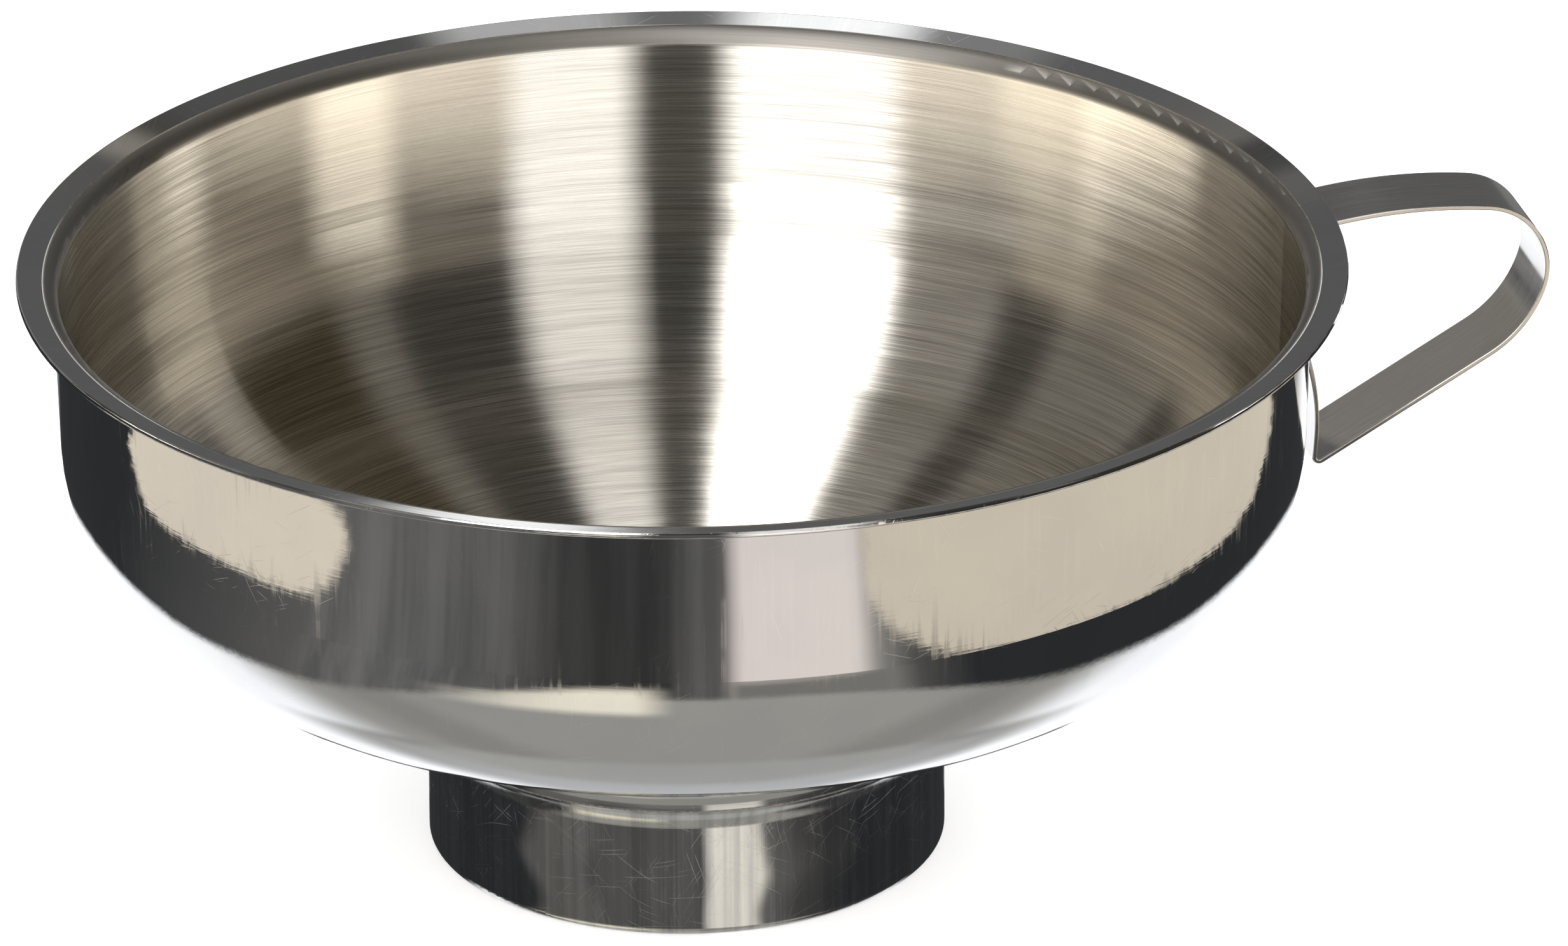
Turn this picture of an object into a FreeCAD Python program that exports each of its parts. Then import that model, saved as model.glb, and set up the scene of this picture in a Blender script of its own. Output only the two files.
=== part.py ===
"""Canning funnel in stainless steel: a drawn bowl, a short spout and a strap handle.

Millimetres, +Z up. The origin is the centre of the spout's lower end, the spout's axis is Z,
and the handle reaches out along +X. Heights are measured up from the spout's lower end.
"""
import FreeCAD, Part
import math
import os

# Bowl
SHEET = 0.6                     # thickness of the bowl's and the spout's steel
RIM_RADIUS = 70.0               # outer edge of the flared lip
RIM_HEIGHT = 65.5               # top of the lip above the spout's lower end
LIP_SLOPE = 12.0                # degrees the lip rises towards its edge
LIP_BEND = 1.0                  # radius under the lip, where it leaves the wall
LIP_EDGE_ROUND = 0.18           # deburred corners of the lip's cut edge
WALL_RADIUS = 66.15             # outside of the wall, just under the lip
WALL_TAPER = 1.5                # degrees the wall leans in towards the bottom
SHOULDER_HEIGHT = RIM_HEIGHT - 18.5     # where the wall starts to turn into the cone
SHOULDER_RADIUS = 21.0          # outside of the turn from wall to cone
CONE_SLOPE = 24.0               # degrees the cone falls towards the neck
NECK_FILLET = 2.5               # outside radius between the cone and the neck
NECK_RADIUS = 29.0              # outside of the bowl's short neck

# Seam weld between the bowl's neck and the spout
SEAM_HEIGHT = RIM_HEIGHT - 50.2         # lower end of the bowl's neck
SEAM_GAP = 0.25                 # height of the weld between the two edges
SEAM_RECESS = 0.15              # the weld is ground back from the neck's outside
SEAM_WIDTH = 0.75               # radial width of the weld

# Spout
SPOUT_RADIUS = 27.5             # outside of the straight spout
COVE_RADIUS = 3.3               # outside radius of the flare at the spout's top
COVE_HEIGHT = 12.5              # where the flare runs into the straight spout
COVE_START_SLOPE = 22.0         # degrees from level at which the flare is begun, above its trim
LIP_CURL = 0.9                  # outside radius of the lower edge that is turned in
THROAT_RADIUS = 25.9            # opening inside the turned-in edge

# Handle strap, drawn as its centre line in the XZ plane
STRAP_WIDTH = 9.6
STRAP_THICKNESS = 0.5
STRAP_EDGE_ROUND = 0.12
STRAP_CLEARANCE = 0.03          # air from wall to tab, and from tab to flap
ARCH_X = 78.5                   # crown of the slightly arched upper arm
ARCH_HEIGHT = RIM_HEIGHT - 0.5
ARCH_RADIUS = 60.0
ARCH_TURN = 8.0                 # degrees of arch from its crown to the tight bend
TIGHT_RADIUS = 7.55             # upper part of the outer bend
TIGHT_TURN = 102.0
EASY_RADIUS = 13.0              # lower part of the outer bend
LOWER_ARM_SLOPE = 29.5          # degrees the lower arm falls towards the bowl
FOLD_RADIUS = 0.55              # sharp fold at the foot of the handle
TAB_LEAN = 4.0                  # degrees the tab leans out above the fold
TAB_FOOT = 2.4                  # straight length above the fold
TAB_SWEEP_RADIUS = 25.8         # gentle S that brings the tab back to the wall
TAB_SWEEP_TURN = 14.5
TAB_TOP = RIM_HEIGHT - 2.6
FLAP_BEND = 1.2                 # centre-line radius where the upper arm turns down
FLAP_END = RIM_HEIGHT - 8.4     # lower end of the turned-down flap

# Spot welds through the flap, the tab and part of the wall
WELD_RADIUS = 1.5
WELD_SPACING = 4.6              # between the two welds, across the strap
WELD_HEIGHT = RIM_HEIGHT - 5.6
WELD_DEPTH_IN_WALL = 0.3
WELD_DIMPLE = 0.08              # electrode mark, below the flap's face

UP = FreeCAD.Vector(0, 0, 1)
ORIGIN = FreeCAD.Vector(0, 0, 0)


def direction(degrees):
    """Unit step in the XZ plane, turned up from +X."""
    return math.cos(math.radians(degrees)), math.sin(math.radians(degrees))


def vector(point):
    return FreeCAD.Vector(point[0], 0, point[1])


def moved(point, degrees, distance):
    step = direction(degrees)
    return point[0] + distance * step[0], point[1] + distance * step[1]


def trace(start, heading, moves, side):
    """Edges that run beside a path of lines and tangent arcs, and the path's end.

    side is the distance to the left of the path. A move is ("line", length),
    ("to_x", x), ("to_z", z) or ("arc", radius, turn), with turn positive to the left.
    """
    edges = []
    point = start
    for move in moves:
        begin = moved(point, heading + 90, side)
        if move[0] == "arc":
            left = math.copysign(1, move[2])
            centre = moved(point, heading + 90 * left, move[1])
            reach = move[1] - left * side
            middle = moved(centre, heading - 90 * left + move[2] / 2, reach)
            heading = heading + move[2]
            point = moved(centre, heading - 90 * left, move[1])
            end = moved(point, heading + 90, side)
            edges.append(Part.Arc(vector(begin), vector(middle), vector(end)).toShape())
            continue
        step = direction(heading)
        length = move[1]
        if move[0] == "to_x":
            length = (move[1] - point[0]) / step[0]
        if move[0] == "to_z":
            length = (move[1] - point[1]) / step[1]
        point = moved(point, heading, length)
        end = moved(point, heading + 90, side)
        edges.append(Part.makeLine(vector(begin), vector(end)))
    return edges, point, heading


def sheet_face(paths, left, right):
    """Section of bent sheet beside one path, or beside two that leave the same point.

    A path is (start, heading, moves). left and right are distances to the left of the
    first path, and a second path runs the other way from the same start.
    """
    edges = []
    open_ends = []
    for start, heading, moves in paths:
        near, end, end_heading = trace(start, heading, moves, left)
        far = trace(start, heading, moves, right)[0]
        edges += near + far
        open_ends.append((end, end_heading))
    if len(paths) == 1:
        open_ends.append(paths[0][:2])
    for point, heading in open_ends:
        corners = [vector(moved(point, heading + 90, side)) for side in (left, right)]
        edges.append(Part.makeLine(corners[0], corners[1]))
    return Part.Face(Part.Wire(Part.__sortEdges__(edges)))


def turned(face):
    """Solid of revolution about the spout's axis."""
    return face.revolve(ORIGIN, UP, 360)


def ring(outer, inner, bottom, top):
    height = top - bottom
    base = FreeCAD.Vector(0, 0, bottom)
    return Part.makeCylinder(outer, height, base).cut(Part.makeCylinder(inner, height, base))


def one_solid(shape):
    """The single solid that a cut or a revolve leaves."""
    solid = shape.removeSplitter().Solids[0]
    solid.fixTolerance(1e-6)
    return solid


def funnel_bowl():
    """Bowl drawn from one sheet: lip, wall, shoulder, cone and neck, along its outside."""
    start = (RIM_RADIUS, RIM_HEIGHT - SHEET * direction(LIP_SLOPE)[0])
    lip_heading = 180 + LIP_SLOPE
    wall_heading = 270 - WALL_TAPER
    cone_heading = 180 + CONE_SLOPE
    lip_end = WALL_RADIUS + LIP_BEND * (direction(lip_heading)[1] - direction(wall_heading)[1])
    cone_end = NECK_RADIUS + NECK_FILLET * (1 - direction(CONE_SLOPE)[1])
    moves = [
        ("to_x", lip_end),
        ("arc", LIP_BEND, wall_heading - lip_heading),
        ("to_z", SHOULDER_HEIGHT),
        ("arc", SHOULDER_RADIUS, cone_heading - wall_heading),
        ("to_x", cone_end),
        ("arc", NECK_FILLET, 270 - cone_heading),
        ("to_z", SEAM_HEIGHT),
    ]
    bowl = turned(sheet_face([(start, lip_heading, moves)], 0, -SHEET))
    lip_edges = []
    for edge in bowl.Edges:
        if edge.Closed and edge.BoundBox.XMax > RIM_RADIUS - SHEET / 2:
            lip_edges.append(edge)
    return bowl.makeFillet(LIP_EDGE_ROUND, lip_edges)


def spout_collar():
    """Straight spout, flared at the top to meet the neck, turned in at its lower edge."""
    flare = direction(COVE_START_SLOPE)
    start = (
        SPOUT_RADIUS + COVE_RADIUS * (1 - flare[1]),
        COVE_HEIGHT + COVE_RADIUS * flare[0],
    )
    moves = [
        ("arc", COVE_RADIUS, 90 - COVE_START_SLOPE),
        ("to_z", LIP_CURL),
        ("arc", LIP_CURL, -90),
        ("to_x", THROAT_RADIUS),
    ]
    spout = turned(sheet_face([(start, 180 + COVE_START_SLOPE, moves)], 0, -SHEET))
    trim = Part.makeCylinder(RIM_RADIUS, SHEET * 10, FreeCAD.Vector(0, 0, SEAM_HEIGHT - SEAM_GAP))
    return one_solid(spout.cut(trim))


def neck_weld():
    """Weld that runs once round between the bowl's neck and the spout's flare."""
    outer = NECK_RADIUS - SEAM_RECESS
    return ring(outer, outer - SEAM_WIDTH, SEAM_HEIGHT - SEAM_GAP, SEAM_HEIGHT)


def tab_x():
    """Centre line of the tab, where it lies against the wall."""
    return WALL_RADIUS + STRAP_CLEARANCE + STRAP_THICKNESS / 2


def handle_strap():
    """One strip: flap, arched upper arm, outer bend, lower arm, fold, and tab."""
    half = STRAP_THICKNESS / 2
    crown = (ARCH_X, ARCH_HEIGHT)
    flap_x = tab_x() + STRAP_THICKNESS + STRAP_CLEARANCE
    inward = (ARCH_X - flap_x - FLAP_BEND) / (ARCH_RADIUS - FLAP_BEND)
    inward_turn = math.degrees(math.asin(inward))
    towards_bowl = [
        ("arc", ARCH_RADIUS, inward_turn),
        ("arc", FLAP_BEND, 90 - inward_turn),
        ("to_z", FLAP_END),
    ]
    easy_turn = 180 - LOWER_ARM_SLOPE - ARCH_TURN - TIGHT_TURN
    loop = [
        ("arc", ARCH_RADIUS, -ARCH_TURN),
        ("arc", TIGHT_RADIUS, -TIGHT_TURN),
        ("arc", EASY_RADIUS, -easy_turn),
    ]
    foot = [
        ("arc", FOLD_RADIUS, -(90 + LOWER_ARM_SLOPE + TAB_LEAN)),
        ("line", TAB_FOOT),
        ("arc", TAB_SWEEP_RADIUS, TAB_SWEEP_TURN + TAB_LEAN),
        ("arc", TAB_SWEEP_RADIUS, -TAB_SWEEP_TURN),
    ]
    loop_end, loop_heading = trace(crown, 0, loop, 0)[1:]
    foot_end = trace(loop_end, loop_heading, foot, 0)[1]
    lower_arm = (foot_end[0] - tab_x()) / direction(LOWER_ARM_SLOPE)[0]
    away = loop + [("line", lower_arm)] + foot + [("to_z", TAB_TOP)]
    section = sheet_face([(crown, 180, towards_bowl), (crown, 0, away)], half, -half)
    section.translate(FreeCAD.Vector(0, -STRAP_WIDTH / 2, 0))
    strap = section.extrude(FreeCAD.Vector(0, STRAP_WIDTH, 0))
    long_edges = []
    for edge in strap.Edges:
        if edge.BoundBox.YLength < STRAP_EDGE_ROUND and edge.Length > STRAP_THICKNESS * 1.01:
            long_edges.append(edge)
    return strap.makeFillet(STRAP_EDGE_ROUND, long_edges)


def weld_cylinders():
    """The volume of each spot weld, as a short cylinder along X."""
    inner = WALL_RADIUS - WELD_DEPTH_IN_WALL
    outer = tab_x() + 1.5 * STRAP_THICKNESS + STRAP_CLEARANCE - WELD_DIMPLE
    welds = []
    for side in (-1, 1):
        base = FreeCAD.Vector(inner, side * WELD_SPACING / 2, WELD_HEIGHT)
        welds.append(Part.makeCylinder(WELD_RADIUS, outer - inner, base, FreeCAD.Vector(1, 0, 0)))
    return welds


def build():
    """Every piece, with the spot welds' places cut out of the wall and the strap."""
    welds = weld_cylinders()
    return {
        "funnel_bowl": funnel_bowl().cut(welds),
        "spout_collar": spout_collar(),
        "neck_weld": neck_weld(),
        "handle_strap": handle_strap().cut(welds),
        "spot_welds": Part.makeCompound(welds),
    }


os.makedirs("parts", exist_ok=True)
for name, shape in build().items():
    shape.exportStep("parts/" + name + ".step")
    print(name, shape.isValid(), len(shape.Solids), round(shape.Volume, 1))
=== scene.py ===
"""Looks for a stainless steel canning funnel: polished outside, brushed inside, on a pale floor."""
import math
from collections import namedtuple
from types import SimpleNamespace

import bpy
from mathutils import Matrix, Vector


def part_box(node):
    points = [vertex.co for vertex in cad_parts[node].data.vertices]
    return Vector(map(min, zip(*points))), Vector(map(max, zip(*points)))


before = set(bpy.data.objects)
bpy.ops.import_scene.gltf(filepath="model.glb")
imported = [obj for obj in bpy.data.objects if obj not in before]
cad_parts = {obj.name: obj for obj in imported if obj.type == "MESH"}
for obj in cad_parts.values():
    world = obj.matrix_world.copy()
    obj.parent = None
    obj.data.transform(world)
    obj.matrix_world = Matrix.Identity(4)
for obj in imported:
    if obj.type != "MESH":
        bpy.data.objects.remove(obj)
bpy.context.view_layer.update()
scene = bpy.context.scene

MM = 0.001
PER_METRE = 1000.0                      # millimetres in a metre: the shaders work in millimetres

# Places on the funnel
RIM_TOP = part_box("funnel_bowl")[1][2]
RIM_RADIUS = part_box("funnel_bowl")[1][1]
NECK_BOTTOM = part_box("funnel_bowl")[0][2]
STRAP_HALF_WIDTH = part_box("handle_strap")[1][1]
LIP_INNER_RADIUS = RIM_RADIUS - 3.0 * MM        # the polished lip starts here
WALL_FOOT = NECK_BOTTOM + 28.5 * MM             # the wall rises from the shoulder here
BEND_LOW = RIM_TOP - 2.5 * MM                   # the wall starts to bend into the lip here
BEND_HIGH = RIM_TOP - 1.9 * MM                  # and from here up it is all bend

# How the steel is finished
WALL_LEAN = 0.26                # slope that the brushing gives the inner wall, in mm per mm
WALL_LEAN_ROUNDING = 3.0        # mm over which that slope sets in
LIP_ROUGHNESS = 0.05
BEND_ROUGHNESS = 0.42
SPOUT_ROUGHNESS = 0.035

# Where the eye is, measured from the centre of the rim
EYE_DISTANCE = 1.5184
EYE_ELEVATION = 23.125
EYE_AZIMUTH = -13.0             # degrees from -Y; the handle is on the side of positive ones
AIM_RIGHT = 10.57 * MM          # the aim is this far right of the rim's centre
AIM_DOWN = 24.44 * MM
SENSOR_MM = 36.0
FOCAL_MM = 331.89
ROLL = -0.328

FLOOR_SIZE = 12.0
FLOOR_GLOW = 0.55               # keeps the paper close to white in the shade


# ---------------------------------------------------------------- node helpers
class Nodes:
    """Short names for building a node tree."""

    def __init__(self, tree):
        self.tree = tree
        self.links = tree.links

    def add(self, kind, **settings):
        node = self.tree.nodes.new(kind)
        for name, value in settings.items():
            setattr(node, name, value)
        return node

    def plug(self, socket, value):
        """Link a socket to an output, or give it a plain value."""
        if isinstance(value, bpy.types.NodeSocket):
            self.links.new(value, socket)
        elif value is not None:
            socket.default_value = value

    def plug_colour(self, socket, value):
        self.plug(socket, (*value, 1.0) if isinstance(value, tuple) else value)

    def math(self, operation, a, b=None, c=None, clamp=False):
        node = self.add("ShaderNodeMath", operation=operation, use_clamp=clamp)
        for socket, value in zip(node.inputs, (a, b, c)):
            self.plug(socket, value)
        return node.outputs[0]

    def chain(self, operation, values):
        """The same operation over two or more values, from the first to the last."""
        total = values[0]
        for value in values[1:]:
            total = self.math(operation, total, value)
        return total

    def plus(self, *values):
        return self.chain("ADD", values)

    def times(self, *values):
        return self.chain("MULTIPLY", values)

    def minus(self, a, b):
        return self.math("SUBTRACT", a, b)

    def length(self, x, y):
        return self.math("SQRT", self.plus(self.times(x, x), self.times(y, y)))

    def mix(self, factor, a, b):
        """Colour a where the factor is zero, b where it is one."""
        node = self.add("ShaderNodeMix", data_type="RGBA")
        self.plug(node.inputs[0], factor)
        self.plug_colour(node.inputs[6], a)
        self.plug_colour(node.inputs[7], b)
        return node.outputs[2]

    def blend(self, factor, a, b):
        """Number a where the factor is zero, b where it is one."""
        node = self.add("ShaderNodeMix", data_type="FLOAT")
        self.plug(node.inputs[0], factor)
        self.plug(node.inputs[2], a)
        self.plug(node.inputs[3], b)
        return node.outputs[0]

    def scale(self, vector, factor):
        node = self.add("ShaderNodeVectorMath", operation="SCALE")
        self.plug(node.inputs[0], vector)
        self.plug(node.inputs["Scale"], factor)
        return node.outputs[0]

    def ramp(self, value, low, high, out_low=0.0, out_high=1.0):
        """Smooth step of a value from low to high."""
        node = self.add("ShaderNodeMapRange", interpolation_type="SMOOTHSTEP", clamp=True)
        for socket, item in zip(node.inputs, (value, low, high, out_low, out_high)):
            self.plug(socket, item)
        return node.outputs[0]

    def fall(self, value, low, high):
        """One up to low, falling smoothly to zero at high."""
        return self.ramp(value, low, high, 1.0, 0.0)

    def window(self, value, low, high, soft):
        """One between low and high, falling to zero across each of them."""
        rise = self.ramp(value, low - soft, low + soft)
        return self.times(rise, self.fall(value, high - soft, high + soft))

    def vector(self, x, y, z):
        node = self.add("ShaderNodeCombineXYZ")
        for socket, item in zip(node.inputs, (x, y, z)):
            self.plug(socket, item)
        return node.outputs[0]

    def split(self, vector):
        node = self.add("ShaderNodeSeparateXYZ")
        self.plug(node.inputs[0], vector)
        return node.outputs

    def noise(self, vector, detail, rough, scale=1.0):
        node = self.add("ShaderNodeTexNoise", noise_dimensions="3D")
        self.plug(node.inputs["Vector"], vector)
        self.plug(node.inputs["Scale"], scale)
        self.plug(node.inputs["Detail"], detail)
        self.plug(node.inputs["Roughness"], rough)
        return node.outputs["Fac"]


def round_coordinates(n):
    """Distance from the axis in millimetres, cosine and sine of the turn, and height in millimetres."""
    x, y, z = n.split(n.add("ShaderNodeTexCoord").outputs["Object"])
    radius = n.length(x, y)
    safe = n.math("MAXIMUM", radius, 1e-5)
    cosine = n.math("DIVIDE", x, safe)
    sine = n.math("DIVIDE", y, safe)
    return n.times(radius, PER_METRE), cosine, sine, n.times(z, PER_METRE)


def stretched(n, coordinates, around, lengthwise, shift=0.0):
    """Noise place on a round surface: around is the noise's radius, lengthwise its steps per millimetre."""
    radius_mm, cosine, sine, height = coordinates
    profile = n.plus(radius_mm, height)
    across = n.plus(n.times(cosine, around), shift)
    return n.vector(across, n.times(sine, around), n.times(profile, lengthwise))


def unrolled(n, coordinates):
    """A round surface laid flat, in millimetres: around it and along its profile."""
    radius_mm, cosine, sine, height = coordinates
    turn = n.math("ARCTAN2", sine, cosine)
    return n.times(turn, n.math("MAXIMUM", radius_mm, 20.0)), n.plus(radius_mm, height)


SCRATCH_TURN = 2.399            # radians from one layer's direction to the next
SCRATCH_WAVE = 0.05             # steps per millimetre of the noise that bends a scratch
SCRATCH_BEND = 6.0              # millimetres that a scratch can bend aside
SCRATCH_SOFTNESS = 0.06


def scratches(n, coordinates, layers, length, width, rarity, seed):
    """Hairline scratches in several directions, of about the length and width given in millimetres."""
    around, profile = unrolled(n, coordinates)
    lines = []
    for layer in range(layers):
        cosine = math.cos(seed + layer * SCRATCH_TURN)
        sine = math.sin(seed + layer * SCRATCH_TURN)
        wave = n.vector(n.times(around, SCRATCH_WAVE), n.times(profile, SCRATCH_WAVE), seed + layer)
        bend = n.times(n.noise(wave, 1.0, 0.5), SCRATCH_BEND)
        lengthwise = n.plus(n.times(around, cosine), n.times(profile, sine))
        crosswise = n.plus(n.times(around, -sine), n.times(profile, cosine), bend)
        slice_of_noise = seed * 3.1 + layer * 7.7
        place = n.vector(
            n.math("DIVIDE", lengthwise, length),
            n.math("DIVIDE", crosswise, width),
            slice_of_noise,
        )
        lines.append(n.ramp(n.noise(place, 0.0, 0.5), rarity, rarity + SCRATCH_SOFTNESS))
    return n.chain("MAXIMUM", lines)


def material(name):
    item = bpy.data.materials.new(name)
    item.use_nodes = True
    item.node_tree.nodes.clear()
    n = Nodes(item.node_tree)
    shader = n.add("ShaderNodeBsdfPrincipled")
    shader.inputs["Metallic"].default_value = 1.0
    output = n.add("ShaderNodeOutputMaterial")
    n.links.new(shader.outputs[0], output.inputs[0])
    return item, n, shader


def bump(n, shader, height, distance, strength):
    node = n.add("ShaderNodeBump")
    node.inputs["Strength"].default_value = strength
    node.inputs["Distance"].default_value = distance
    n.plug(node.inputs["Height"], height)
    n.links.new(node.outputs[0], shader.inputs["Normal"])


# ---------------------------------------------------------------- materials
def brushed_inside(n, where):
    """Colour, roughness and relief of steel brushed round the axis."""
    fine = n.noise(stretched(n, where, 4.0, 7.0), 3.0, 0.6)
    coarse = n.noise(stretched(n, where, 2.5, 1.8, 7.0), 3.0, 0.6)
    brushing = n.blend(0.35, fine, coarse)
    colour = n.mix(n.ramp(brushing, 0.33, 0.67), (0.44, 0.42, 0.39), (0.86, 0.83, 0.78))
    cloud = n.noise(stretched(n, where, 2.2, 0.035, 3.0), 2.0, 0.5)
    colour = n.mix(n.ramp(cloud, 0.35, 0.7, 0.0, 0.30), colour, (0.62, 0.60, 0.52))
    rough = n.ramp(brushing, 0.3, 0.7, 0.15, 0.20)
    lines = n.noise(stretched(n, where, 2.0, 7.0), 2.0, 0.6)
    # the wall's brushing leans the light upwards, over the opposite rim
    height = where[3]
    above_foot = n.minus(height, WALL_FOOT / MM)
    lean = n.times(n.math("SMOOTH_MAX", above_foot, 0.0, WALL_LEAN_ROUNDING), -WALL_LEAN)
    return colour, rough, n.plus(n.times(lines, 0.004), lean)


def polished_outside(n, where):
    """Colour, roughness and relief of polished steel with smudges, upright drawing marks and scratches."""
    height = where[3]
    smudge = n.noise(stretched(n, where, 3.5, 0.06, 5.0), 3.0, 0.6)
    hair = scratches(n, where, layers=5, length=6.0, width=0.14, rarity=0.80, seed=0.4)
    upright = n.noise(stretched(n, where, 75.0, 0.035, 13.0), 3.0, 0.65)
    worn = n.noise(stretched(n, where, 6.0, 0.09, 17.0), 3.0, 0.6)
    on_wall = n.ramp(height, WALL_FOOT / MM - 2.0, WALL_FOOT / MM + 2.0)
    drawn = n.times(n.ramp(upright, 0.46, 0.70), n.ramp(worn, 0.42, 0.60), on_wall)
    colour = n.mix(n.ramp(smudge, 0.3, 0.75), (0.61, 0.615, 0.62), (0.67, 0.665, 0.655))
    colour = n.mix(n.times(drawn, 0.15), colour, (0.90, 0.89, 0.87))
    colour = n.mix(n.times(hair, 0.25), colour, (0.88, 0.88, 0.87))
    rough = n.plus(n.ramp(smudge, 0.35, 0.75, 0.02, 0.05), n.times(hair, 0.07), n.times(drawn, 0.12))
    polish = n.noise(stretched(n, where, 9.0, 2.6, 11.0), 3.0, 0.55)
    return colour, rough, n.minus(n.times(polish, 0.0015), n.times(hair, 0.0005))


def bowl_steel():
    """Brushed round and round inside, mirror polished outside and on the lip, rough in the bend below it,
    where painted shade darkens the colour.
    """
    item, n, shader = material("bowl_steel_brushed_and_polished")
    where = round_coordinates(n)
    radius_mm, cosine, sine, height = where
    nx, ny, nz = n.split(n.add("ShaderNodeNewGeometry").outputs["True Normal"])
    outward = n.plus(n.times(nx, cosine), n.times(ny, sine))
    faces_in = n.ramp(n.minus(nz, outward), -0.05, 0.05)
    within_lip = n.fall(radius_mm, LIP_INNER_RADIUS / MM - 0.05, LIP_INNER_RADIUS / MM + 0.25)
    inside = n.times(faces_in, within_lip)
    lip = n.times(faces_in, n.minus(1.0, within_lip))
    bend = n.times(inside, n.ramp(height, BEND_LOW / MM, BEND_HIGH / MM))

    inner_colour, inner_rough, inner_relief = brushed_inside(n, where)
    outer_colour, outer_rough, outer_relief = polished_outside(n, where)
    colour = n.mix(inside, outer_colour, inner_colour)
    # painted shade: the bend under the lip is darkened in colour so that it mirrors little
    colour = n.mix(n.times(bend, 0.9), colour, (0.20, 0.19, 0.175))
    rough = n.blend(inside, n.blend(lip, outer_rough, LIP_ROUGHNESS), inner_rough)
    rough = n.blend(bend, rough, BEND_ROUGHNESS)
    n.links.new(colour, shader.inputs["Base Color"])
    n.links.new(rough, shader.inputs["Roughness"])
    bump(n, shader, n.blend(inside, outer_relief, inner_relief), MM, 1.0)

    # the brushing runs round the axis
    tangent = n.add("ShaderNodeTangent", direction_type="RADIAL", axis="Z")
    n.links.new(tangent.outputs[0], shader.inputs["Tangent"])
    n.links.new(n.math("SUBTRACT", inside, bend, clamp=True), shader.inputs["Anisotropic"])
    shader.inputs["Anisotropic Rotation"].default_value = 0.25
    return item


def spout_steel():
    """Polished with upright drawing lines, and scuffed by hairline scratches and haze."""
    item, n, shader = material("spout_steel_drawn_and_polished")
    where = round_coordinates(n)
    lines = n.noise(stretched(n, where, 95.0, 0.03), 3.0, 0.6)
    broad = n.noise(stretched(n, where, 22.0, 0.015, 2.0), 2.0, 0.5)
    patchy = n.noise(stretched(n, where, 4.0, 0.10, 9.0), 3.0, 0.6)
    drawn = n.times(n.ramp(lines, 0.42, 0.68), n.ramp(patchy, 0.38, 0.62))
    hair = scratches(n, where, layers=6, length=6.5, width=0.10, rarity=0.765, seed=1.7)
    haze = n.ramp(n.noise(stretched(n, where, 5.0, 0.16, 21.0), 4.0, 0.65), 0.42, 0.72)
    colour = n.mix(n.ramp(broad, 0.35, 0.65), (0.52, 0.52, 0.515), (0.68, 0.675, 0.66))
    colour = n.mix(n.times(drawn, 0.40), colour, (0.82, 0.82, 0.81))
    colour = n.mix(n.times(hair, 0.35), colour, (0.93, 0.93, 0.92))
    rough = n.plus(SPOUT_ROUGHNESS, n.times(drawn, 0.08), n.times(hair, 0.14), n.times(haze, 0.10))
    n.links.new(colour, shader.inputs["Base Color"])
    n.links.new(rough, shader.inputs["Roughness"])
    bump(n, shader, n.minus(n.times(lines, 0.35), n.times(hair, 0.3)), 0.012 * MM, 0.5)
    return item


def strap_steel():
    """Satin strip with lengthwise rolling grain, faint stains, and a painted highlight along both long edges.
    """
    item, n, shader = material("strap_steel_satin")
    place = n.add("ShaderNodeTexCoord").outputs["Object"]
    x, y, z = n.split(place)
    grain = n.noise(n.vector(n.times(x, 160.0), n.times(y, 5200.0), n.times(z, 160.0)), 3.0, 0.6)
    cross = n.noise(n.vector(n.times(x, 2600.0), n.times(y, 260.0), n.times(z, 2600.0)), 2.0, 0.5)
    stain = n.noise(place, 3.0, 0.6, scale=95.0)
    from_middle = n.math("ABSOLUTE", y)
    # painted highlight: the strip's long edges are painted lighter, as if they caught the light
    edge_highlight = n.ramp(from_middle, STRAP_HALF_WIDTH - 0.45 * MM, STRAP_HALF_WIDTH - 0.02 * MM)
    colour = n.mix(n.ramp(grain, 0.3, 0.7), (0.60, 0.59, 0.58), (0.66, 0.65, 0.635))
    colour = n.mix(n.ramp(stain, 0.55, 0.75, 0.0, 0.5), colour, (0.50, 0.46, 0.41))
    colour = n.mix(n.times(edge_highlight, 0.6), colour, (0.82, 0.80, 0.77))
    rough = n.plus(n.ramp(grain, 0.3, 0.7, 0.13, 0.19), n.ramp(stain, 0.5, 0.8, 0.0, 0.08))
    n.links.new(colour, shader.inputs["Base Color"])
    n.links.new(rough, shader.inputs["Roughness"])
    bump(n, shader, n.plus(grain, n.times(cross, 0.5)), 0.003 * MM, 0.4)
    return item


def weld_steel(name, scale):
    """Dull fused metal with fine ripples and heat tint."""
    item, n, shader = material(name)
    place = n.add("ShaderNodeTexCoord").outputs["Object"]
    ripple = n.noise(place, 3.0, 0.6, scale)
    tint = n.noise(place, 2.0, 0.5, scale * 0.2)
    colour = n.mix(n.ramp(ripple, 0.3, 0.7), (0.30, 0.29, 0.28), (0.47, 0.46, 0.44))
    colour = n.mix(n.ramp(tint, 0.5, 0.8, 0.0, 0.4), colour, (0.38, 0.32, 0.24))
    n.links.new(colour, shader.inputs["Base Color"])
    n.links.new(n.ramp(ripple, 0.3, 0.7, 0.32, 0.5), shader.inputs["Roughness"])
    bump(n, shader, ripple, 0.02 * MM, 0.6)
    return item


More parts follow.
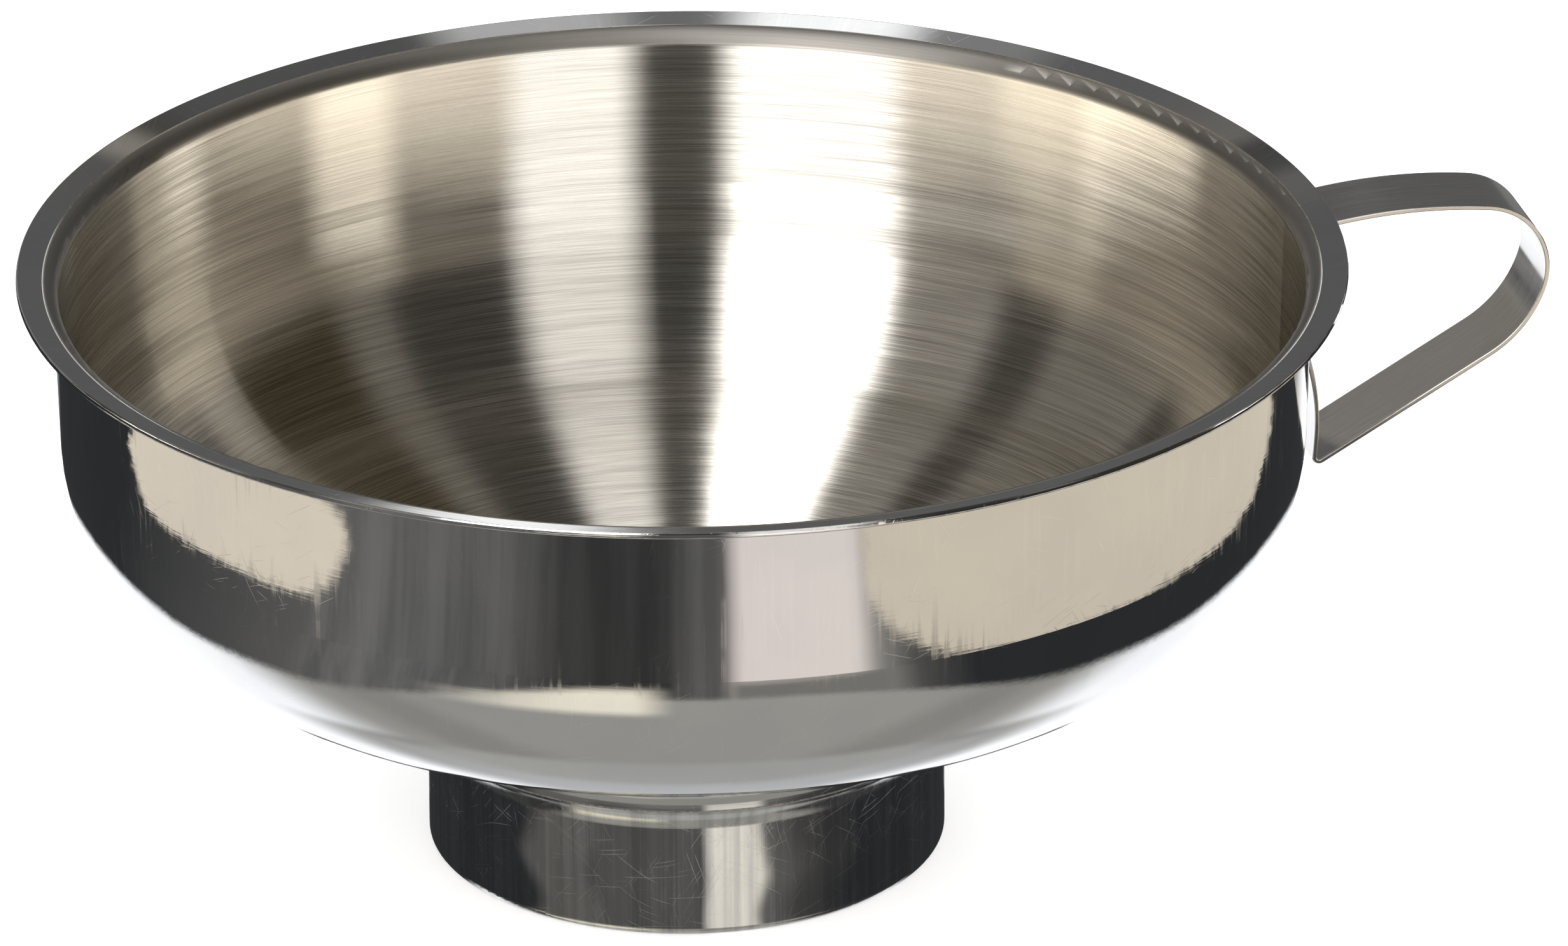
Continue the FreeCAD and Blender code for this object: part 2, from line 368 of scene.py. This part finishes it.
# ---------------------------------------------------------------- surroundings
# The steel shows its surroundings, so they are described twice: what lies on the table around the funnel
# (seen by the outside of the bowl and by the spout) and what hangs above it (seen by the inside and the lip).
# Bearings on the table are measured from the view: 0 comes towards the eye, 90 goes right.
VIEW_RIGHT = (math.cos(math.radians(EYE_AZIMUTH)), math.sin(math.radians(EYE_AZIMUTH)))
VIEW_AWAY = (-VIEW_RIGHT[1], VIEW_RIGHT[0])
HALF_TURN = (-90.0, 90.0)
FULL_TURN = (-180.0, 180.0)


def along(n, x, y, direction):
    return n.plus(n.times(x, direction[0]), n.times(y, direction[1]))


def degrees(n, radians):
    return n.times(radians, 180.0 / math.pi)


def grey(level, warmth=0.0):
    """A grey of the given brightness, yellower with warmth and bluer below zero."""
    return (level * (1 + 0.5 * warmth), level * (1 + 0.08 * warmth), level * (1 - 0.6 * warmth))


def steps(edges, soft):
    """Stops for flat bands: (from angle, colour) pairs, each edge as soft as given."""
    stops = [edges[0]]
    for (_, before), (at, after) in zip(edges, edges[1:]):
        stops += [(at - soft, before), (at + soft, after)]
    return stops


def bands(n, angle, ends, stops, gain):
    """Colour by angle; stops are (angle, colour), with no part of a colour above gain."""
    low, high = ends
    node = n.add("ShaderNodeValToRGB")
    node.color_ramp.interpolation = "LINEAR"
    elements = node.color_ramp.elements
    while len(elements) < len(stops):
        elements.new(0.5)
    for element, (at, _) in zip(elements, stops):
        element.position = (at - low) / (high - low)
    for element, (_, colour) in zip(elements, stops):
        element.color = (*[part / gain for part in colour], 1.0)
    n.plug(node.inputs[0], n.math("DIVIDE", n.minus(angle, low), high - low, clamp=True))
    return n.scale(node.outputs[0], gain)


# ---- above the table
# A streak is the bearing, from straight away, of the place on the bowl that mirrors a direction to the eye.
# Along one streak, the fan angle says how the direction rises: 0 is level, back over the axis; 90 is up.
WALL_TO_SHOULDER = (8.0, 10.0)          # fan angles over which one set of panels gives way to the next
SHOULDER_TO_CONE = (12.5, 16.5)
CONE_TO_FAR_LIP = (114.0, 122.0)
OVERHEAD_SOFTNESS = 1.5
OVERHEAD_GAIN = 6.0
WALL_BANDS = (
    (-90.0, grey(0.24, 0.15)), (-66.0, grey(0.85, 0.2)), (-58.0, grey(1.6, 0.2)), (-51.5, grey(2.0, 0.25)),
    (-37.0, grey(2.3, 0.24)), (-28.5, grey(2.9, 0.22)), (-16.0, grey(1.5, 0.1)), (-4.6, grey(0.12, 0.1)),
    (4.5, grey(0.80, 0.15)), (20.6, grey(2.2, 0.25)), (31.5, grey(2.9, 0.27)), (42.0, grey(3.4, 0.27)),
    (57.0, grey(0.6, 0.17)), (64.0, grey(0.28, 0.1)), (73.0, grey(0.18, 0.05)),
)
SHOULDER_BANDS = (
    (-90.0, grey(0.20, 0.15)), (-63.0, grey(0.45, 0.2)), (-57.3, grey(4.6, 0.15)), (-51.5, grey(0.12, 0.3)),
    (-37.0, grey(3.8, 0.2)), (-28.5, grey(0.45, 0.2)), (-16.0, grey(2.8, 0.03)), (-4.6, grey(0.07, 0.1)),
    (4.5, grey(2.0, 0.06)), (20.6, grey(1.3, 0.18)), (31.5, grey(1.9, 0.18)), (41.0, grey(4.4, 0.18)),
    (56.5, grey(0.30, 0.12)),
)
CONE_BANDS = (
    (-90.0, grey(0.12, 0.1)), (-57.5, grey(0.34, 0.2)), (-51.5, (0.050, 0.040, 0.022)),
    (-36.0, grey(0.17, 0.18)), (-30.0, grey(0.05, 0.15)), (-16.0, grey(1.10, 0.06)), (-4.6, grey(0.06, 0.1)),
    (4.5, grey(4.2, 0.03)), (20.6, grey(0.28, 0.14)), (33.0, grey(0.07, 0.15)), (40.0, grey(0.20, 0.16)),
    (56.5, grey(0.05, 0.1)), (65.0, grey(0.24, 0.14)),
)
FAR_LIP_BANDS = (
    (-90.0, grey(0.11)), (-19.0, grey(0.60)), (-4.6, grey(0.20)), (4.5, grey(1.5)), (18.5, grey(0.28)),
    (30.0, grey(0.15)),
)
BOUNCED_BANDS = (
    (-180.0, grey(0.50, 0.2)), (-114.0, grey(0.45, 0.2)), (-64.0, grey(2.6, -0.05)), (-18.0, grey(0.15)),
    (18.0, grey(1.8, -0.05)), (82.0, grey(0.28, 0.1)), (131.0, grey(1.0, 0.2)), (165.0, grey(0.50, 0.2)),
)
SCATTERED = (0.24, 0.22, 0.18)
SLIT = grey(1.3)


def overhead_place(n):
    """Where a direction points: its parts, its streak and fan angles, and its height, in degrees."""
    x, y, up = n.split(n.add("ShaderNodeTexCoord").outputs["Generated"])
    right = along(n, x, y, VIEW_RIGHT)
    away = along(n, x, y, VIEW_AWAY)
    level = math.cos(math.radians(EYE_ELEVATION))
    streak = n.math("ARCTAN2", n.times(right, -1.0), n.minus(level, away))
    outward = n.plus(n.times(away, n.math("COSINE", streak)), n.times(right, n.math("SINE", streak)))
    fan = n.math("ARCTAN2", up, n.times(outward, -1.0))
    return SimpleNamespace(
        right=right,
        away=away,
        streak=degrees(n, streak),
        fan=degrees(n, fan),
        elevation=degrees(n, n.math("ARCSINE", up)),
    )


def overhead_panels(n, at):
    """The panels that the wall, the shoulder, the cone and the far lip mirror, from low to high."""
    def panels(edges):
        return bands(n, at.streak, HALF_TURN, steps(edges, OVERHEAD_SOFTNESS), OVERHEAD_GAIN)

    colour = n.mix(n.ramp(at.fan, *WALL_TO_SHOULDER), panels(WALL_BANDS), panels(SHOULDER_BANDS))
    colour = n.mix(n.ramp(at.fan, *SHOULDER_TO_CONE), colour, panels(CONE_BANDS))
    far_lip = bands(n, at.streak, HALF_TURN, steps(FAR_LIP_BANDS, 2.0), 2.0)
    at_the_back = n.window(at.streak, -50.0, 50.0, 8.0)
    return n.mix(n.times(at_the_back, n.ramp(at.fan, *CONE_TO_FAR_LIP)), colour, far_lip)


def far_end(n, at, colour):
    """Greys low down at the far end, and a narrow white slit straight ahead at table height."""
    shade = n.ramp(at.right, -0.42, -0.15, 0.36, 0.13)
    low_and_far = n.times(n.ramp(at.away, 0.80, 0.90), n.fall(at.elevation, 30.0, 40.0))
    colour = n.mix(low_and_far, colour, n.vector(shade, shade, shade))
    straight = n.times(n.ramp(at.away, 0.970, 0.985), n.window(at.right, 0.004, 0.030, 0.004))
    return n.mix(n.times(straight, n.fall(at.elevation, 1.2, 3.0)), colour, SLIT)


def bounced_light(n, at, bounces):
    """What the inside shows where the light has met the wall more than once."""
    # after one bounce on each side it leaves four times as far round as where it first met the wall
    azimuth = degrees(n, n.math("ARCTAN2", at.right, at.away))
    twice = bands(n, azimuth, FULL_TURN, steps(BOUNCED_BANDS, 4.0), 3.0)
    scattered = n.math("MAXIMUM", n.ramp(bounces, 2.2, 2.8), n.ramp(at.elevation, 38.0, 52.0))
    return n.mix(scattered, twice, SCATTERED)


def overhead_world():
    """The panels, for mirrored rays only; the camera and the diffuse light see plain white."""
    world = bpy.data.worlds.new("studio")
    world.use_nodes = True
    world.node_tree.nodes.clear()
    scene.world = world
    n = Nodes(world.node_tree)
    path = n.add("ShaderNodeLightPath")
    bounces = path.outputs["Glossy Depth"]
    at = overhead_place(n)
    colour = far_end(n, at, overhead_panels(n, at))
    colour = n.mix(n.ramp(bounces, 1.2, 1.8), colour, bounced_light(n, at, bounces))
    seen = n.mix(path.outputs["Is Glossy Ray"], (1.0, 1.0, 1.0), colour)
    back = n.add("ShaderNodeBackground")
    n.links.new(seen, back.inputs["Color"])
    output = n.add("ShaderNodeOutputWorld")
    n.links.new(back.outputs[0], output.inputs[0])


# ---- on the table
# A panel lies between two arcs, from start to far (mm), and spans half a width (degrees) on each side of its
# centre. Its corners are cut back by round_off (mm), the more suddenly the higher the power.
Panel = namedtuple("Panel", "centre half start far round_off power paint")
PANELS = (
    Panel(-77.5, half=25.0, start=167.0, far=186.0, round_off=14.0, power=8.0, paint=(0.98, 0.88, 0.73)),
    Panel(71.5, half=45.0, start=156.5, far=230.0, round_off=20.0, power=6.0, paint=(0.86, 0.77, 0.63)),
)
FAR_ROUND_OFF = 9.0
TORN_BY = 9.0                           # degrees that a panel's ends are torn
FRAYED_BY = 4.0                         # mm that its long edges are frayed
BELOW_BOWL = (60.0, 66.0)               # mm from the axis: the spout's surroundings end, the wall's begin
LEVEL_TO_STEEP = (31.0, 37.0)           # degrees
TABLE_GAIN = 2.0
DARK = grey(0.036, -0.12)
LIT_SHEET = (1.36, 1.38, 1.42)
SHEET_IN_FRONT = (0.44, 0.43, 0.40)
SHEET_SHADED = (0.36, 0.35, 0.325)
SHEET_EDGE = 122.0                      # the lit sheet ends here in front, in mm from the axis
CARD = (1.20, 1.12, 0.94)
STEEP_GREY = (0.50, 0.50, 0.48)
COVE_CREAM = (0.95, 0.88, 0.70)
WALL_SURROUNDINGS = (
    (-180.0, DARK), (-168.0, DARK), (-163.0, grey(0.30)), (-146.0, grey(0.30)), (-141.0, DARK),
    (-104.0, DARK), (-62.0, grey(0.13, 0.03)), (-50.0, grey(0.19, 0.03)), (-38.0, grey(0.16, 0.02)),
    (-27.0, grey(0.15, 0.04)), (-18.0, grey(0.06, 0.02)), (-3.0, grey(0.05)), (1.0, grey(0.14, 0.03)),
    (5.5, grey(0.12, 0.05)), (8.0, (1.02, 0.92, 0.88)), (25.0, (1.02, 0.93, 0.88)), (28.5, grey(0.30, 0.1)),
    (34.0, grey(0.10, 0.05)), (42.0, DARK), (147.0, DARK), (152.0, grey(0.22)), (166.0, grey(0.22)),
    (171.0, DARK), (180.0, DARK),
)
SPOUT_SURROUNDINGS = (
    (-180.0, grey(0.6)), (-158.0, grey(0.5)), (-150.0, DARK), (-57.0, DARK), (-50.0, grey(0.15, 0.08)),
    (-33.0, grey(0.15, 0.06)), (-28.0, grey(0.10, 0.03)), (-4.0, grey(0.12, 0.03)), (4.5, grey(0.11, 0.03)),
    (7.5, grey(0.95, 0.12)), (22.0, grey(0.92, 0.14)), (26.0, grey(0.16, 0.05)), (38.0, grey(0.07, 0.03)),
    (60.0, DARK), (150.0, DARK), (158.0, grey(0.6)), (180.0, grey(0.6)),
)


def table_place(n):
    """Where a mirrored ray meets the table, in mm and degrees, and how it travels."""
    geometry = n.add("ShaderNodeNewGeometry")
    x, y, _ = n.split(geometry.outputs["Position"])
    back_x, back_y, rise = n.split(geometry.outputs["Incoming"])
    right = n.times(along(n, x, y, VIEW_RIGHT), PER_METRE)
    near = n.times(along(n, x, y, VIEW_AWAY), -PER_METRE)
    radius = n.length(right, near)
    azimuth = degrees(n, n.math("ARCTAN2", right, near))
    swing = n.math("ABSOLUTE", azimuth)
    going_right = n.times(along(n, back_x, back_y, VIEW_RIGHT), -1.0)
    going_near = along(n, back_x, back_y, VIEW_AWAY)
    heading = degrees(n, n.math("ARCTAN2", going_right, going_near))
    return SimpleNamespace(
        radius=radius,
        azimuth=azimuth,
        swing=swing,
        reach=n.plus(radius, n.times(swing, 0.13)),     # level lines on the wall nearly have equal reach
        steepness=degrees(n, n.math("ARCSINE", rise)),
        aside=n.math("ABSOLUTE", heading),              # 0 comes towards the eye, 180 goes away
    )


def table_noise(n, azimuth, distance, per_degree, per_mm, seed):
    return n.noise(n.vector(n.times(azimuth, per_degree), n.times(distance, per_mm), seed), 3.0, 0.6)


def add_panel(n, at, fray, panel, colour):
    """Lay one panel with frayed edges over a colour."""
    tatter = n.minus(table_noise(n, at.azimuth, at.reach, 0.22, 1.2, 0.0), 0.5)
    torn = n.plus(at.azimuth, n.times(tatter, TORN_BY))
    place = n.math("DIVIDE", n.math("ABSOLUTE", n.minus(torn, panel.centre)), panel.half)
    corner = n.math("POWER", place, panel.power)
    frayed = n.times(fray, FRAYED_BY)
    start = n.plus(n.times(corner, panel.round_off), panel.start)
    past_start = n.plus(at.reach, n.times(start, -1.0), frayed)
    outwards = n.plus(at.radius, n.times(corner, FAR_ROUND_OFF), frayed)
    cover = n.times(n.ramp(past_start, -0.5, 0.5), n.fall(place, 0.985, 1.0))
    cover = n.times(cover, n.fall(outwards, panel.far - 1.5, panel.far + 1.5))
    return n.mix(cover, colour, panel.paint)


def seen_by_the_wall(n, at, fray):
    """Dark surroundings with two panels, a light strip in front, and streaky shade to the strip's left."""
    around = bands(n, at.azimuth, FULL_TURN, WALL_SURROUNDINGS, TABLE_GAIN)
    uneven = n.ramp(table_noise(n, at.azimuth, at.radius, 0.30, 0.008, 9.0), 0.34, 0.66, 0.84, 1.16)
    colour = n.scale(around, n.blend(n.window(at.azimuth, -60.0, 4.0, 2.0), 1.0, uneven))
    for panel in PANELS:
        colour = add_panel(n, at, fray, panel, colour)
    shade = n.times(n.window(at.azimuth, 6.0, 30.0, 2.0), n.fall(at.radius, 132.0, 152.0))
    return n.mix(shade, colour, grey(0.24, 0.1))


def add_sheet(n, at, fray, colour):
    """The sheet that the funnel stands on: dim in front, bright at the sides and behind."""
    edge = n.plus(
        SHEET_EDGE,
        n.ramp(at.swing, 12.0, 60.0, 0.0, -32.0),
        n.ramp(at.swing, 75.0, 125.0, 0.0, 20.0),
        n.ramp(at.swing, 135.0, 160.0, 0.0, 75.0),
        n.times(fray, 5.0),
    )
    sideways = n.minus(at.swing, n.times(n.minus(at.radius, 66.0), 0.7))
    in_front = n.mix(n.window(sideways, 20.0, 36.0, 6.0), SHEET_IN_FRONT, SHEET_SHADED)
    sheet = n.mix(n.ramp(sideways, 40.0, 66.0), in_front, LIT_SHEET)
    return n.mix(n.fall(n.minus(at.radius, edge), -5.0, 5.0), colour, sheet)


def add_card(n, at, colour):
    """A small card close in front, to the left."""
    far_edge = n.ramp(at.azimuth, -34.0, -10.0, 118.0, 131.0)
    across = n.times(n.ramp(at.azimuth, -42.0, -14.0), n.fall(at.azimuth, -8.0, -1.0))
    deep = n.times(n.ramp(at.radius, 98.0, 108.0), n.fall(n.minus(at.radius, far_edge), -5.0, 5.0))
    return n.mix(n.times(across, deep), colour, CARD)


def level_light(n, at):
    """What level rays meet close to the spout; those that leave the underside going away meet the sheet."""
    turned = n.times(at.azimuth, n.ramp(at.radius, 28.0, 42.0, 1.45, 1.0))
    colour = bands(n, turned, FULL_TURN, SPOUT_SURROUNDINGS, TABLE_GAIN)
    going_away = n.ramp(at.aside, 150.0, 165.0)
    from_underside = n.times(going_away, n.fall(at.swing, 150.0, 160.0), n.ramp(at.radius, 43.0, 48.0))
    return n.mix(from_underside, colour, LIT_SHEET)


def steep_light(n, at):
    """What steep rays meet close to the spout: light if they go away, dimmer if they come nearer."""
    fore = n.mix(n.ramp(at.aside, 52.0, 76.0), (0.38, 0.37, 0.34), grey(0.06))
    aft = n.mix(n.ramp(at.steepness, 46.0, 60.0), LIT_SHEET, STEEP_GREY)
    aft = n.mix(n.ramp(at.swing, 25.0, 60.0), grey(0.60, -0.03), aft)
    colour = n.mix(n.ramp(at.aside, 112.0, 140.0), fore, aft)
    colour = n.mix(n.ramp(at.steepness, 60.0, 70.0), colour, STEEP_GREY)
    beside_spout = n.times(n.fall(at.radius, 30.0, 33.0), n.ramp(at.swing, 50.0, 62.0))
    colour = n.mix(beside_spout, colour, DARK)
    # a cream glow for the cove over the spout, at the front left
    cove = n.times(n.window(at.azimuth, -36.0, -8.0, 5.0), n.window(at.steepness, 42.0, 66.0, 4.0))
    cove = n.times(cove, n.fall(at.aside, 88.0, 108.0), n.fall(at.radius, 34.0, 40.0))
    return n.mix(cove, colour, COVE_CREAM)


def table_colours(n):
    """What the polished steel sees on the table."""
    at = table_place(n)
    fray = n.minus(table_noise(n, at.azimuth, at.reach, 0.9, 0.5, 4.0), 0.5)
    colour = seen_by_the_wall(n, at, fray)
    colour = add_sheet(n, at, fray, colour)
    colour = add_card(n, at, colour)
    below = n.mix(n.ramp(at.steepness, *LEVEL_TO_STEEP), level_light(n, at), steep_light(n, at))
    return n.mix(n.ramp(at.radius, *BELOW_BOWL), below, colour)


def pale_floor():
    """Wide pale floor under the spout; the steel mirrors the table's colours instead of it."""
    bpy.ops.mesh.primitive_grid_add(
        x_subdivisions=8, y_subdivisions=8, size=FLOOR_SIZE, location=(0, 0, 0),
    )
    floor = bpy.context.object
    floor.name = "studio_floor"
    item = bpy.data.materials.new("floor_paper")
    item.use_nodes = True
    n = Nodes(item.node_tree)
    shader = item.node_tree.nodes["Principled BSDF"]
    grain = n.noise(n.add("ShaderNodeTexCoord").outputs["Object"], 2.0, 0.5, scale=900.0)
    paper = n.mix(grain, (0.90, 0.90, 0.90), (0.93, 0.93, 0.93))
    n.links.new(paper, shader.inputs["Base Color"])
    n.links.new(paper, shader.inputs["Emission Color"])
    shader.inputs["Roughness"].default_value = 0.9
    shader.inputs["Emission Strength"].default_value = FLOOR_GLOW
    mirrored = n.add("ShaderNodeEmission")
    n.links.new(table_colours(n), mirrored.inputs["Color"])
    switch = n.add("ShaderNodeMixShader")
    n.links.new(n.add("ShaderNodeLightPath").outputs["Is Glossy Ray"], switch.inputs[0])
    n.links.new(shader.outputs[0], switch.inputs[1])
    n.links.new(mirrored.outputs[0], switch.inputs[2])
    n.links.new(switch.outputs[0], item.node_tree.nodes["Material Output"].inputs[0])
    floor.data.materials.append(item)


# ---------------------------------------------------------------- lights, camera and dressing
def bearing(azimuth, elevation):
    """Unit vector towards a place: azimuth 0 is in front (-Y) and 90 is +X."""
    a = math.radians(azimuth)
    e = math.radians(elevation)
    return Vector((math.sin(a) * math.cos(e), -math.cos(a) * math.cos(e), math.sin(e)))


def soft_light(name, azimuth, elevation, distance, size, power):
    """A round area light aimed at the middle of the funnel, which the steel doesn't mirror."""
    data = bpy.data.lights.new(name, "AREA")
    data.shape = "DISK"
    data.size = size
    data.energy = power
    lamp = bpy.data.objects.new(name, data)
    lamp.visible_glossy = False
    back = bearing(azimuth, elevation)
    lamp.location = Vector((0, 0, RIM_TOP / 2)) + back * distance
    lamp.rotation_euler = back.to_track_quat("Z", "Y").to_euler()
    scene.collection.objects.link(lamp)


def camera():
    rim_centre = Vector((0, 0, RIM_TOP))
    aim = rim_centre + Vector((*VIEW_RIGHT, 0)) * AIM_RIGHT - Vector((0, 0, AIM_DOWN))
    eye = rim_centre + bearing(EYE_AZIMUTH, EYE_ELEVATION) * EYE_DISTANCE
    data = bpy.data.cameras.new("camera")
    data.sensor_width = SENSOR_MM
    data.lens = FOCAL_MM
    item = bpy.data.objects.new("camera", data)
    turn = (eye - aim).to_track_quat("Z", "Y").to_matrix().to_4x4()
    item.matrix_world = Matrix.Translation(eye) @ turn @ Matrix.Rotation(math.radians(ROLL), 4, "Z")
    scene.collection.objects.link(item)
    scene.camera = item


def dress(node, item):
    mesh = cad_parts[node].data
    mesh.materials.clear()
    mesh.materials.append(item)


dress("funnel_bowl", bowl_steel())
dress("spout_collar", spout_steel())
dress("handle_strap", strap_steel())
dress("neck_weld", weld_steel("seam_weld_ground", scale=2600.0))
dress("spot_welds", weld_steel("spot_weld_mark", scale=1800.0))

overhead_world()
pale_floor()
soft_light("key", azimuth=-40, elevation=55, distance=1.6, size=1.4, power=14.0)
soft_light("fill", azimuth=60, elevation=40, distance=1.8, size=1.4, power=8.0)
camera()
scene.view_settings.view_transform = "Standard"
